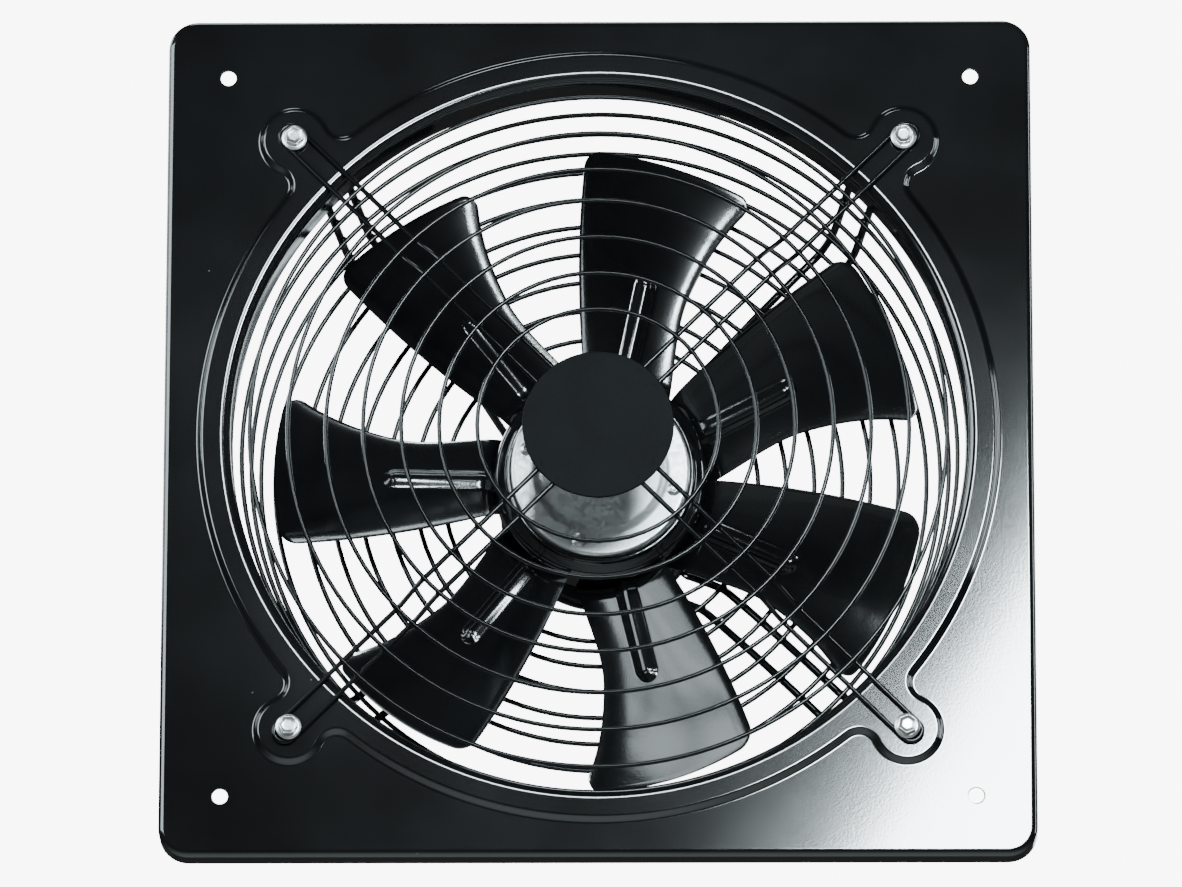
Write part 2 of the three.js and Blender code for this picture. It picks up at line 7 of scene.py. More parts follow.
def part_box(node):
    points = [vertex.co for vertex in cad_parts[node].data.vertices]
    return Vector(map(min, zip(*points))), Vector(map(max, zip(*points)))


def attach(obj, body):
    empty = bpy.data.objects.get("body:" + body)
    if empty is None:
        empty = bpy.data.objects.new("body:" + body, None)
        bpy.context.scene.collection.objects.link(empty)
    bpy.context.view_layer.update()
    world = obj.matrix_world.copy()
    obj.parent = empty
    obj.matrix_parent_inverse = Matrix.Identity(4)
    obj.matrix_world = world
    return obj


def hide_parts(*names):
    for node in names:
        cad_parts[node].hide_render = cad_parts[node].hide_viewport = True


# Axial extractor fan on a square pressed wall plate. The fan axis is Y, the front faces -Y, +Z is up.
# Lengths are in metres.
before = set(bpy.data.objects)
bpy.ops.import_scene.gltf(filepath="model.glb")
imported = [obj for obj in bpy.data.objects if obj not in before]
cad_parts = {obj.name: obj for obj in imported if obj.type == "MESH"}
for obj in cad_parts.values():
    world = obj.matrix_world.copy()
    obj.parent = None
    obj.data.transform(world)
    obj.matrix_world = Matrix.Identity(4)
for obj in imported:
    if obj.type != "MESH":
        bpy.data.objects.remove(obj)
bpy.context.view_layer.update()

corners = 4
cornerTurns = [(k + 0.5) * math.pi / 2 for k in range(corners)]
gap = 0.0003  # seat gap between touching pieces

plateLow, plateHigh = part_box("wall_plate")
plateHalf = plateHigh.x
raisedFace = plateLow.y


# Shader nodes

class Signal:
    # a node's output; sums, products and comparisons add maths nodes
    def __init__(self, graph, socket):
        self.graph = graph
        self.socket = socket

    def __add__(self, other):
        return self.graph.maths("ADD", self, other)

    def __mul__(self, other):
        return self.graph.maths("MULTIPLY", self, other)

    def __gt__(self, other):
        return self.graph.maths("GREATER_THAN", self, other)

    def __lt__(self, other):
        return self.graph.maths("LESS_THAN", self, other)

    __radd__ = __add__


class Graph:
    def __init__(self, tree):
        self.tree = tree
        tree.nodes.clear()

    def node(self, kind, settings=None, sockets=None, out=0):
        made = self.tree.nodes.new(kind)
        for name, value in (settings or {}).items():
            if name == "stops":
                self.setStops(made.color_ramp, value)
            else:
                setattr(made, name, value)
        for name, value in (sockets or {}).items():
            if isinstance(value, Signal):
                self.tree.links.new(value.socket, made.inputs[name])
            else:
                made.inputs[name].default_value = value
        return Signal(self, made.outputs[out]) if made.outputs else made

    def setStops(self, ramp, stops):
        while len(ramp.elements) < len(stops):
            ramp.elements.new(1)
        for element, (position, level) in zip(ramp.elements, stops):
            element.position = position
            element.color = (level, level, level, 1)

    def maths(self, operation, *values):
        return self.node("ShaderNodeMath", {"operation": operation}, dict(enumerate(values)))

    def mix(self, share, first, second):
        settings = {"data_type": "RGBA"}
        return self.node("ShaderNodeMix", settings, {0: share, 6: first, 7: second}, out=2)

    def coordinates(self, stretch=(1, 1, 1)):
        place = self.node("ShaderNodeTexCoord", out="Object")
        return self.node("ShaderNodeMapping", sockets={"Vector": place, "Scale": stretch})

    def noise(self, place, perMetre, detail):
        sockets = {"Vector": place, "Scale": perMetre, "Detail": detail}
        return self.node("ShaderNodeTexNoise", sockets=sockets)

    def cells(self, place, perMetre, out="Distance"):
        return self.node("ShaderNodeTexVoronoi", sockets={"Vector": place, "Scale": perMetre}, out=out)

    def ramp(self, value, *stops):
        return self.node("ShaderNodeValToRGB", {"stops": stops}, {"Fac": value})

    def bump(self, height, depth):
        sockets = {"Strength": 1.0, "Distance": depth, "Height": height}
        return self.node("ShaderNodeBump", sockets=sockets)


def newFinish(name):
    material = bpy.data.materials.new(name)
    material.use_nodes = True
    return material, Graph(material.node_tree)


def surface(graph, sockets):
    shader = graph.node("ShaderNodeBsdfPrincipled", sockets=sockets)
    graph.node("ShaderNodeOutputMaterial", sockets={"Surface": shader})


# Finishes. Clouds, grain and the other noises are [per metre, detail].

glossPaint = {
    "colour": (0.0024, 0.0027, 0.0029, 1),
    "worn": (0.0060, 0.0066, 0.0070, 1),
    "dust": (0.19, 0.19, 0.18, 1),
    "cloud": (11, 3),
    "peel": (620, 2),
    "grain": (1500, 1),
    "wear": ((0.35, 0), (0.75, 1)),
    "specksPerMetre": 60,
    "speckSize": 0.018,
    "specksAbove": 0.52,
    "roughness": 0.055,
    "cloudRough": 0.04,
    "grainRough": 0.03,
    "dustRough": 0.4,
    "grainRelief": 0.15,
    "relief": 0.000008,
    "specular": 0.95,
}


def makePaint(name, look):
    material, graph = newFinish(name)
    place = graph.coordinates()
    cloud = graph.noise(place, *look["cloud"])
    peel = graph.noise(place, *look["peel"])
    grain = graph.noise(place, *look["grain"])
    dots = graph.cells(place, look["specksPerMetre"]) < look["speckSize"]
    specks = dots * (cloud > look["specksAbove"])
    tone = graph.mix(graph.ramp(cloud, *look["wear"]), look["colour"], look["worn"])
    roughness = look["roughness"] + cloud * look["cloudRough"] + grain * look["grainRough"]
    surface(graph, {
        "Base Color": graph.mix(specks, tone, look["dust"]),
        "Roughness": roughness + specks * look["dustRough"],
        "Normal": graph.bump(peel + grain * look["grainRelief"], look["relief"]),
        "Specular IOR Level": look["specular"],
    })
    return material


satinPaint = {
    **glossPaint,
    "colour": (0.0018, 0.0024, 0.0027, 1),
    "worn": (0.0044, 0.0056, 0.0060, 1),
    "cloud": (30, 3),
    "peel": (900, 2),
    "roughness": 0.5,
    "relief": 0.00012,
    "specular": 0.07,
}

bladePaint = {**glossPaint, "roughness": 0.085, "relief": 0.00002, "specular": 0.6}

wirePaint = {**glossPaint, "roughness": 0.10, "specular": 0.3}

brightZinc = {
    "tones": ((0.80, 0.81, 0.80, 1), (0.52, 0.53, 0.52, 1)),
    "dulling": ((0.4, 0), (0.7, 1)),
    "cloud": (260, 3),
    "grain": (2600, 2),
    "roughness": 0.2,
    "cloudRough": 0.15,
    "grainRough": 0.08,
    "relief": 0.00002,
}


def makeZinc(name, look):
    material, graph = newFinish(name)
    place = graph.coordinates()
    cloud = graph.noise(place, *look["cloud"])
    grain = graph.noise(place, *look["grain"])
    surface(graph, {
        "Base Color": graph.mix(graph.ramp(cloud, *look["dulling"]), *look["tones"]),
        "Metallic": 1.0,
        "Roughness": look["roughness"] + cloud * look["cloudRough"] + grain * look["grainRough"],
        "Normal": graph.bump(grain, look["relief"]),
    })
    return material


galvanisedSteel = {
    "tones": ((0.86, 0.87, 0.87, 1), (0.60, 0.62, 0.63, 1)),
    "flakesPerMetre": 520,
    "flakeTone": 0.6,
    "grain": (1700, 2),
    "grainTone": 0.4,
    "cloud": (45, 3),
    "roughness": 0.27,
    "flakeRough": 0.10,
    "cloudRough": 0.05,
    "flakeRelief": 0.4,
    "relief": 0.00002,
}


def makeGalvanised(name, look):
    material, graph = newFinish(name)
    place = graph.coordinates()
    flake = graph.cells(place, look["flakesPerMetre"], out="Color")
    flakeLevel = graph.node("ShaderNodeSeparateColor", sockets={"Color": flake})
    grain = graph.noise(place, *look["grain"])
    cloud = graph.noise(place, *look["cloud"])
    share = flakeLevel * look["flakeTone"] + grain * look["grainTone"]
    surface(graph, {
        "Base Color": graph.mix(share, *look["tones"]),
        "Metallic": 1.0,
        "Roughness": look["roughness"] + flakeLevel * look["flakeRough"] + cloud * look["cloudRough"],
        "Normal": graph.bump(grain + flakeLevel * look["flakeRelief"], look["relief"]),
    })
    return material


castAluminium = {
    "tones": ((0.62, 0.63, 0.64, 1), (0.38, 0.39, 0.40, 1)),
    "cloud": (60, 3),
    "grain": (900, 4),
    "metallic": 0.9,
    "roughness": 0.42,
    "grainRough": 0.2,
    "relief": 0.0001,
}

blackNylon = {
    "tones": ((0.010, 0.010, 0.011, 1), (0.026, 0.026, 0.027, 1)),
    "cloud": (90, 2),
    "grain": (1800, 3),
    "metallic": 0.0,
    "roughness": 0.45,
    "grainRough": 0.2,
    "relief": 0.00006,
}


def makeGrainy(name, look):
    material, graph = newFinish(name)
    place = graph.coordinates()
    grain = graph.noise(place, *look["grain"])
    surface(graph, {
        "Base Color": graph.mix(graph.noise(place, *look["cloud"]), *look["tones"]),
        "Metallic": look["metallic"],
        "Roughness": look["roughness"] + grain * look["grainRough"],
        "Normal": graph.bump(grain, look["relief"]),
    })
    return material


laminations = {
    "tones": ((0.10, 0.10, 0.11, 1), (0.34, 0.35, 0.37, 1)),
    "bands": {"wave_type": "BANDS", "bands_direction": "Y"},
    "wave": {"Scale": 320, "Distortion": 0.3},
    "waveTone": 0.7,
    "patch": (800, 2),
    "patchTone": 0.3,
    "metallic": 0.8,
    "roughness": 0.45,
    "patchRough": 0.2,
    "relief": 0.0001,
    "coat": 0.0,
}

copperWire = {
    "tones": ((0.20, 0.065, 0.025, 1), (0.62, 0.27, 0.13, 1)),
    "bands": {"wave_type": "RINGS", "rings_direction": "Y"},
    "wave": {"Scale": 190, "Distortion": 1.5, "Detail": 1},
    "waveTone": 0.6,
    "patch": (120, 3),
    "patchTone": 0.4,
    "metallic": 0.9,
    "roughness": 0.3,
    "patchRough": 0.2,
    "relief": 0.0003,
    "coat": 0.4,
}


def makeBanded(name, look):
    material, graph = newFinish(name)
    place = graph.coordinates()
    wave = graph.node("ShaderNodeTexWave", look["bands"], {"Vector": place, **look["wave"]})
    patch = graph.noise(place, *look["patch"])
    surface(graph, {
        "Base Color": graph.mix(wave * look["waveTone"] + patch * look["patchTone"], *look["tones"]),
        "Metallic": look["metallic"],
        "Roughness": look["roughness"] + patch * look["patchRough"],
        "Normal": graph.bump(wave, look["relief"]),
        "Coat Weight": look["coat"],
    })
    return material


groundSteel = {
    "tones": ((0.66, 0.66, 0.67, 1), (0.42, 0.43, 0.44, 1)),
    "stretch": (1, 40, 1),
    "turning": (60, 2),
    "cloud": (50, 2),
    "roughness": 0.18,
    "turningRough": 0.15,
    "cloudRough": 0.08,
    "relief": 0.00002,
}


def makeGroundSteel(name, look):
    material, graph = newFinish(name)
    turning = graph.noise(graph.coordinates(look["stretch"]), *look["turning"])
    cloud = graph.noise(graph.coordinates(), *look["cloud"])
    surface(graph, {
        "Base Color": graph.mix(turning, *look["tones"]),
        "Metallic": 1.0,
        "Roughness": look["roughness"] + turning * look["turningRough"] + cloud * look["cloudRough"],
        "Normal": graph.bump(turning, look["relief"]),
    })
    return material


# by slot, with two more blacks for pieces of the black_paint slot
finishes = {
    "black_paint": makePaint("glossBlackPaint", glossPaint),
    "guard_disc_paint": makePaint("satinBlackPaint", satinPaint),
    "blade_paint": makePaint("bladeBlackPaint", bladePaint),
    "wire_paint": makePaint("wireBlackPaint", wirePaint),
    "zinc_plate": makeZinc("brightZinc", brightZinc),
    "galvanised_steel": makeGalvanised("galvanisedSteel", galvanisedSteel),
    "cast_aluminium": makeGrainy("castAluminium", castAluminium),
    "laminations": makeBanded("laminations", laminations),
    "copper_wire": makeBanded("copperWire", copperWire),
    "black_nylon": makeGrainy("blackNylon", blackNylon),
    "bearing_steel": makeGroundSteel("groundSteel", groundSteel),
}
print("finishes made:", len(finishes))


# Modelling helpers

def unique(items):
    # no repeats, and the same order on every run
    return list(dict.fromkeys(items))


def faceY(face):
    return face.calc_center_median().y


def softened(outline, bend, steps=4, closed=False):
    # each bend becomes a short curve that starts and ends `bend` from it, or less on a short side
    most = 0.45
    path = []
    count = len(outline)
    for i, corner in enumerate(outline):
        here = Vector(corner)
        if not closed and i in (0, count - 1):
            path.append(here)
            continue
        before = Vector(outline[i - 1]) - here
        after = Vector(outline[(i + 1) % count]) - here
        reach = min(bend, most * before.length, most * after.length)
        first = here + before.normalized() * reach
        last = here + after.normalized() * reach
        for j in range(steps + 1):
            share = j / steps
            path.append(first.lerp(here, share).lerp(here.lerp(last, share), share))
    return path


def addLoop(bm, points):
    verts = [bm.verts.new(point) for point in points]
    for pair in zip(verts, verts[1:] + verts[:1]):
        bm.edges.new(pair)
    return verts


def loopEdges(bm, verts):
    return [bm.edges.get(pair) for pair in zip(verts, verts[1:] + verts[:1])]


def growLoop(bm, verts, points):
    # extrudes a closed loop and moves its new verts to the points
    made = bmesh.ops.extrude_edge_only(bm, edges=loopEdges(bm, verts))["geom"]
    fresh = {item for item in made if isinstance(item, bmesh.types.BMVert)}
    grown = []
    for vert, point in zip(verts, points):
        others = [edge.other_vert(vert) for edge in vert.link_edges]
        partner = next(other for other in others if other in fresh)
        partner.co = point
        grown.append(partner)
    return grown


def growAll(bm, outlines):
    # a sheet through a row of closed outlines; returns its first and last loop
    first = addLoop(bm, outlines[0])
    last = first
    for points in outlines[1:]:
        last = growLoop(bm, last, points)
    return first, last


def spinRound(bm, geometry, steps):
    bmesh.ops.spin(
        bm, geom=geometry, cent=(0, 0, 0), axis=(0, 1, 0),
        angle=2 * math.pi, steps=steps, use_merge=True,
    )


def addTurned(bm, outline, steps, closed=False):
    # [radius, y] corners turned about the fan axis
    verts = [bm.verts.new((radius, y, 0)) for radius, y in outline]
    pairs = list(zip(verts, verts[1:]))
    if closed:
        pairs.append((verts[-1], verts[0]))
    spinRound(bm, verts + [bm.edges.new(pair) for pair in pairs], steps)


def addTorus(bm, radius, y, wireRadius, steps, sides=14):
    upright = Matrix.Translation((radius, y, 0))
    section = bmesh.ops.create_circle(bm, segments=sides, radius=wireRadius, matrix=upright)["verts"]
    spinRound(bm, section + unique(edge for vert in section for edge in vert.link_edges), steps)


def addTube(bm, points, radius, roundness):
    curve = bpy.data.curves.new("tube", "CURVE")
    curve.dimensions = "3D"
    curve.bevel_depth = radius
    curve.bevel_resolution = roundness
    curve.use_fill_caps = True
    spline = curve.splines.new("POLY")
    spline.points.add(len(points) - 1)
    for target, point in zip(spline.points, points):
        target.co = (*point, 1)
    holder = bpy.data.objects.new("tube", curve)
    mesh = bpy.data.meshes.new_from_object(holder)
    bm.from_mesh(mesh)
    bpy.data.objects.remove(holder)
    bpy.data.curves.remove(curve)
    bpy.data.meshes.remove(mesh)


def aboutAxis(turn):
    return Matrix.Rotation(turn, 4, "Y")


def addBead(bm, centre, size, turn=0.0):
    spot = Matrix.Translation(centre) @ aboutAxis(turn) @ Matrix.Diagonal((*size, 1))
    bmesh.ops.create_uvsphere(bm, u_segments=10, v_segments=6, radius=1, matrix=spot)


def addPrism(bm, sides, radius, yFront, yBack, turn=0.0):
    # upright on the fan axis; returns its faces
    middle = Matrix.Translation((0, (yFront + yBack) / 2, 0))
    made = bmesh.ops.create_cone(
        bm, cap_ends=True, segments=sides, radius1=radius, radius2=radius, depth=yBack - yFront,
        matrix=middle @ aboutAxis(turn) @ Matrix.Rotation(math.pi / 2, 4, "X"),
    )
    return unique(face for vert in made["verts"] for face in vert.link_faces)


def addThread(bm, radius, yFront, yBack, pitch):
    # a threaded shank as close rings
    root = radius - pitch / 2
    outline = [(0, yFront), (root, yFront)]
    turns = int((yBack - yFront) / pitch)
    for i in range(turns):
        outline.append((radius, yFront + (i + 0.5) * pitch))
        outline.append((root, yFront + (i + 1) * pitch))
    outline += [(root, yBack), (0, yBack)]
    addTurned(bm, outline, 24)


def roundEdges(bm, edges, width, segments):
    bmesh.ops.bevel(
        bm, geom=edges, offset=width, segments=segments, profile=0.5, affect="EDGES", material=-1,
    )


def moveAll(bm, offset):
    bmesh.ops.translate(bm, verts=bm.verts, vec=offset)


def onAxisOf(name):
    # where the axis of a bolt, screw or rivet crosses y = 0
    low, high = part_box(name)
    return (low.x + high.x) / 2, 0, (low.z + high.z) / 2


sharpAngle = math.radians(42)
evenShading = ("WEIGHTED_NORMAL", {"weight": 50, "keep_sharp": True})


def edgeBevel(width, segments, angle=50):
    settings = {"width": width, "segments": segments, "angle_limit": math.radians(angle)}
    return ("BEVEL", {**settings, "limit_method": "ANGLE", "harden_normals": False})


def keepPiece(name, bm, slot, body, nodes, modifiers=(), finish=None):
    mesh = bpy.data.meshes.new(name)
    bm.to_mesh(mesh)
    bm.free()
    mesh.materials.append(finishes[finish or slot])
    mesh.polygons.foreach_set("use_smooth", [True] * len(mesh.polygons))
    mesh.set_sharp_from_angle(angle=sharpAngle)
    piece = bpy.data.objects.new(name, mesh)
    bpy.context.scene.collection.objects.link(piece)
    for kind, settings in modifiers:
        modifier = piece.modifiers.new(kind.lower(), kind)
        for key, value in settings.items():
            setattr(modifier, key, value)
    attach(piece, body)
    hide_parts(*nodes)


def finishPiece(name, bm, slot, body, nodes, modifiers=(), finish=None):
    bmesh.ops.remove_doubles(bm, verts=bm.verts, dist=1e-6)
    bmesh.ops.recalc_face_normals(bm, faces=bm.faces)
    keepPiece(name, bm, slot, body, nodes, modifiers, finish)


# Wall plate

plate = {
    "sheet": 0.0015,
    "corner": 0.017,
    "cornerSteps": 10,
    "rimDepth": 0.018,
    "fold": 0.0035,
    "foldRows": 6,
    "border": 0.020,
    "raisedWidth": 0.019,
    "ringSteps": 44,
    "stepOutside": 0.0012,
    "stepWidth": 0.0042,
    "stepRows": 12,
    "lobe": 0.020,
    "lobeSteps": 34,
    "lobeFillet": 0.010,
    "filletSteps": 10,
    "boltBeyondRaised": 0.019,
    "boltHole": 0.0034,
    "fixingFromEdge": 0.035,
    "fixingHole": 0.0045,
    "holeRing": 0.001,
    "lip": 0.006,
    "lipRows": 8,
    "throatSteps": 160,
    "collarDepth": 0.023,
    "shoulder": 0.0006,  # narrow flat rows beside the bends keep the sheet's shading clean
    "edge": 0.00025,
    "edgeAngle": 60,
}
plateFace = -plate["rimDepth"]
raisedRadius = plateHalf - plate["border"]
throatRadius = raisedRadius - plate["raisedWidth"]
boltCircle = raisedRadius + plate["boltBeyondRaised"]


def squareOutline(inset, y):
    radius = plate["corner"] - inset
    reach = (plateHalf - plate["corner"]) * math.sqrt(2)
    steps = plate["cornerSteps"]
    points = []
    for aim in cornerTurns:
        for j in range(steps + 1):
            turn = aim + (j / steps - 0.5) * math.pi / 2
            x = reach * math.cos(aim) + radius * math.cos(turn)
            points.append((x, y, reach * math.sin(aim) + radius * math.sin(turn)))
    return points


def raisedOutline(inset, y):
    # a circle with a lobe round each guard bolt, blended by fillets
    main = raisedRadius - inset
    lobe = plate["lobe"] - inset
    fillet = plate["lobeFillet"] + inset
    toMain, toLobe, apart = main + fillet, lobe + fillet, boltCircle
    turn = math.acos((toMain * toMain + apart * apart - toLobe * toLobe) / (2 * toMain * apart))
    wrap = math.acos((toLobe * toLobe + apart * apart - toMain * toMain) / (2 * toLobe * apart))
    sweep = math.pi - turn - wrap
    points = []

    def addArc(reach, aim, radius, start, stop, steps):
        for j in range(steps):
            angle = start + (stop - start) * j / steps
            x = reach * math.cos(aim) + radius * math.cos(angle)
            points.append((x, y, reach * math.sin(aim) + radius * math.sin(angle)))

    for aim in cornerTurns:
        inbound = aim - turn + math.pi
        outbound = aim + turn + math.pi
        addArc(toMain, aim - turn, fillet, inbound, inbound - sweep, plate["filletSteps"])
        addArc(apart, aim, lobe, aim + wrap - math.pi, aim - wrap + math.pi, plate["lobeSteps"])
        addArc(toMain, aim + turn, fillet, outbound + sweep, outbound, plate["filletSteps"])
        addArc(0, 0, main, aim + turn, aim + math.pi / 2 - turn, plate["ringSteps"])
    return points


def circleOutline(radius, x, y, z, steps=32):
    angles = [2 * math.pi * j / steps for j in range(steps)]
    return [(x + radius * math.cos(t), y, z + radius * math.sin(t)) for t in angles]


def quarterBend(rows):
    # [1 - cos, 1 - sin] through a quarter turn
    angles = [j / rows * math.pi / 2 for j in range(rows + 1)]
    return [(1 - math.cos(angle), 1 - math.sin(angle)) for angle in angles]


def rimOutlines():
    fold, shoulder = plate["fold"], plate["shoulder"]
    rim = [squareOutline(0, 0), squareOutline(0, plateFace + fold + shoulder)]
    for inset, rise in quarterBend(plate["foldRows"]):
        rim.append(squareOutline(fold * inset, plateFace + fold * rise))
    rim.append(squareOutline(fold + shoulder, plateFace))
    return rim


def stepOutlines():
    outside, width, shoulder = plate["stepOutside"], plate["stepWidth"], plate["shoulder"]
    rows = plate["stepRows"]
    step = [raisedOutline(-outside - shoulder, plateFace)]
    for j in range(rows + 1):
        share = j / rows
        rise = 0.5 - 0.5 * math.cos(share * math.pi)
        step.append(raisedOutline(share * width - outside, plateFace + (raisedFace - plateFace) * rise))
    step.append(raisedOutline(width - outside + shoulder, raisedFace))
    return step


def throatOutlines():
    lip, steps = plate["lip"], plate["throatSteps"]
    throat = [circleOutline(throatRadius + lip + plate["shoulder"], 0, raisedFace, 0, steps)]
    for back, outside in quarterBend(plate["lipRows"]):
        throat.append(circleOutline(throatRadius + lip * outside, 0, raisedFace + lip * back, 0, steps))
    throat.append(circleOutline(throatRadius, 0, plateFace + plate["collarDepth"], 0, steps))
    return throat


def fillFlat(bm, loops):
    edges = [edge for loop in loops for edge in loopEdges(bm, loop)]
    bmesh.ops.triangle_fill(bm, use_beauty=True, use_dissolve=False, edges=edges, normal=(0, -1, 0))


def addHole(bm, radius, x, y, z):
    # a narrow flat ring round a hole; returns its outer loop
    outlines = [circleOutline(radius + width, x, y, z) for width in (0, plate["holeRing"])]
    return growAll(bm, outlines)[1]


def makePlate():
    bm = bmesh.new()
    rimInner = growAll(bm, rimOutlines())[1]
    stepFoot, stepTop = growAll(bm, stepOutlines())
    boltHoles = []
    fixingHoles = []
    for aim in cornerTurns:
        side = Vector((math.cos(aim), math.sin(aim)))
        bolt = side * boltCircle
        fixing = side * (plateHalf - plate["fixingFromEdge"]) * math.sqrt(2)
        boltHoles.append(addHole(bm, plate["boltHole"], bolt.x, raisedFace, bolt.y))
        fixingHoles.append(addHole(bm, plate["fixingHole"], fixing.x, plateFace, fixing.y))
    lipFront = growAll(bm, throatOutlines())[0]
    fillFlat(bm, [rimInner, stepFoot, *fixingHoles])
    fillFlat(bm, [stepTop, lipFront, *boltHoles])
    bmesh.ops.recalc_face_normals(bm, faces=bm.faces)
    if min(bm.faces, key=faceY).normal.y > 0:
        bmesh.ops.reverse_faces(bm, faces=bm.faces)
    modifiers = [
        ("SOLIDIFY", {"thickness": plate["sheet"], "offset": -1, "use_even_offset": True}),
        edgeBevel(plate["edge"], 2, plate["edgeAngle"]),
        evenShading,
    ]
    keepPiece("wallPlate", bm, "black_paint", "root", ["wall_plate"], modifiers)


strap = {
    "size": (0.027, 0.023, 0.0015),
    "behindFace": 0.006,
    "offCollar": 0.0005,
    "edge": 0.0005,
    "weld": (0.0018, 0.0018, 0.0003),
}


def makeStrap():
    bm = bmesh.new()
    width, depth, thick = strap["size"]
    middle = plateFace + strap["behindFace"] + depth / 2
    centre = Vector((0, middle, throatRadius + plate["sheet"] + strap["offCollar"]))
    shape = Matrix.Translation(centre) @ Matrix.Diagonal((width, depth, thick, 1))
    bmesh.ops.create_cube(bm, size=1, matrix=shape)
    roundEdges(bm, bm.edges[:], strap["edge"], 2)
    for side in (-1, 1):
        addBead(bm, centre + Vector((side * width / 4, depth / 4, -thick / 2)), strap["weld"])
    finishPiece("collarStrap", bm, "black_paint", "root", [], [evenShading])


makePlate()
makeStrap()
print("wall plate made")


# Front guard

frontGuard = {
    "wire": 0.0013,
    "armWire": 0.0015,
    "armSpacing": 0.0124,
    "armBend": 0.006,
    "rings": 7,
    "flatRings": 4,
    "dome": 0.009,
    "domeBend": 0.0032,
    "armInner": 0.030,
    "weld": (0.0019, 0.0010, 0.0021),
}
rearGuard = {
    "wire": 0.00145,
    "armWire": 0.0024,
    "armSpacing": 0.0175,
    "armBend": 0.007,
    "rings": 10,
    "weld": (0.0024, 0.0013, 0.0026),
}
guardWire = {
    "cadSide": 0.053,
    "ringSide": 0.0125,
    "loopBeyondBolt": 0.003,
    "loopSteps": 16,
    "bendSteps": 6,
    "roundness": 4,
}


def ringSides(radius, longest):
    # a multiple of eight, so the four arms cross a ring alike
    return 8 * max(3, math.ceil(radius / longest))


def ringPlace(node, wireRadius):
    # the CAD ring is a polygon whose flats touch the true circle
    low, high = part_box(node)
    reach = high.x - wireRadius
    flats = ringSides(reach, guardWire["cadSide"])
    return reach * math.cos(math.pi / flats), (low.y + high.y) / 2


def ringPlaces(node, guard):
    return [ringPlace(f"{node}_{i + 1}", guard["wire"]) for i in range(guard["rings"])]


def hairpin(legs, guard):
    # two legs through [radius, y] corners either side of +X, and a loop round the bolt
    half = guard["armSpacing"] / 2
    loopCentre = boltCircle + guardWire["loopBeyondBolt"]
    loopY = legs[-1][1]
    leg = [(math.sqrt(radius * radius - half * half), y, half) for radius, y in legs]
    leg = softened(leg + [(loopCentre, loopY, half)], guard["armBend"], guardWire["bendSteps"])
    steps = guardWire["loopSteps"]
    turns = [j / steps * math.pi for j in range(1, steps)]
    loop = [Vector((loopCentre + half * math.sin(t), loopY, half * math.cos(t))) for t in turns]
    back = [Vector((point.x, point.y, -point.z)) for point in reversed(leg)]
    return leg + loop + back


def turnedAbout(points, turn):
    spin = aboutAxis(turn)
    return [spin @ Vector(point) for point in points]


def makeRings(name, node, places, welds, guard):
    # each ring has a resistance weld where it crosses an arm's two legs
    half = guard["armSpacing"] / 2
    for i, ((radius, y), (weldRadius, weldY)) in enumerate(zip(places, welds)):
        bm = bmesh.new()
        addTorus(bm, radius, y, guard["wire"], ringSides(radius, guardWire["ringSide"]))
        for turn in cornerTurns:
            for side in (-1, 1):
                spot = (math.sqrt(weldRadius * weldRadius - half * half), weldY, side * half)
                addBead(bm, aboutAxis(turn) @ Vector(spot), guard["weld"], turn)
        nodes = [f"{node}_{i + 1}"]
        finishPiece(f"{name}{i + 1}", bm, "black_paint", "root", nodes, finish="wire_paint")


def makeArms(name, node, legs, guard):
    wire = hairpin(legs, guard)
    for k, turn in enumerate(cornerTurns):
        bm = bmesh.new()
        addTube(bm, turnedAbout(wire, turn), guard["armWire"], guardWire["roundness"])
        nodes = [f"{node}_{k + 1}"]
        finishPiece(f"{name}{k + 1}", bm, "black_paint", "root", nodes, finish="wire_paint")


def makeFrontGuard():
    rings = ringPlaces("front_guard_ring", frontGuard)
    welds = [(radius, y + frontGuard["wire"] + gap / 2) for radius, y in rings]
    makeRings("frontRing", "front_guard_ring", rings, welds, frontGuard)
    flatRings = frontGuard["flatRings"]
    domeInner = rings[flatRings - 1][0] + frontGuard["domeBend"]
    domeOuter = rings[flatRings][0] - frontGuard["domeBend"]
    armSeat = raisedFace - gap - frontGuard["armWire"]
    armDome = armSeat - frontGuard["dome"]
    legs = [(frontGuard["armInner"], armDome), (domeInner, armDome), (domeOuter, armSeat)]
    makeArms("frontArm", "front_guard_arm", legs, frontGuard)


frontDisc = {
    "edge": 0.0007,
    "flatRim": 0.004,
    "steps": 128,
    "weldFromEdge": 0.0045,
    "weldSunk": 0.0001,
    "weld": (0.0011, 0.00022, 0.0011),
}


def makeFrontDisc():
    low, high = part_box("front_guard_disc")
    flatEnd = high.z - frontDisc["flatRim"]
    outline = [(0, low.y), (flatEnd, low.y), (high.z, low.y), (high.z, high.y), (0, high.y)]
    bm = bmesh.new()
    addTurned(bm, softened(outline, frontDisc["edge"]), frontDisc["steps"])
    half = frontGuard["armSpacing"] / 2
    weldRadius = high.z - frontDisc["weldFromEdge"]
    for turn in cornerTurns:
        for side in (-1, 1):
            spot = Vector((weldRadius, low.y + frontDisc["weldSunk"], side * half))
            addBead(bm, aboutAxis(turn) @ spot, frontDisc["weld"])
    finishPiece("frontDisc", bm, "guard_disc_paint", "root", ["front_guard_disc"], [evenShading])


makeFrontGuard()
makeFrontDisc()
print("front guard made")


# Rear guard

mountDisc = {
    "screws": 4,
    "screwHole": 0.0028,
    "glandHole": 0.0063,
    "holeSteps": 28,
    "steps": 96,
    "armReach": 0.038,
    "edge": 0.0005,
}
discLow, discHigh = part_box("motor_mount_disc")
rearRings = ringPlaces("rear_guard_ring", rearGuard)


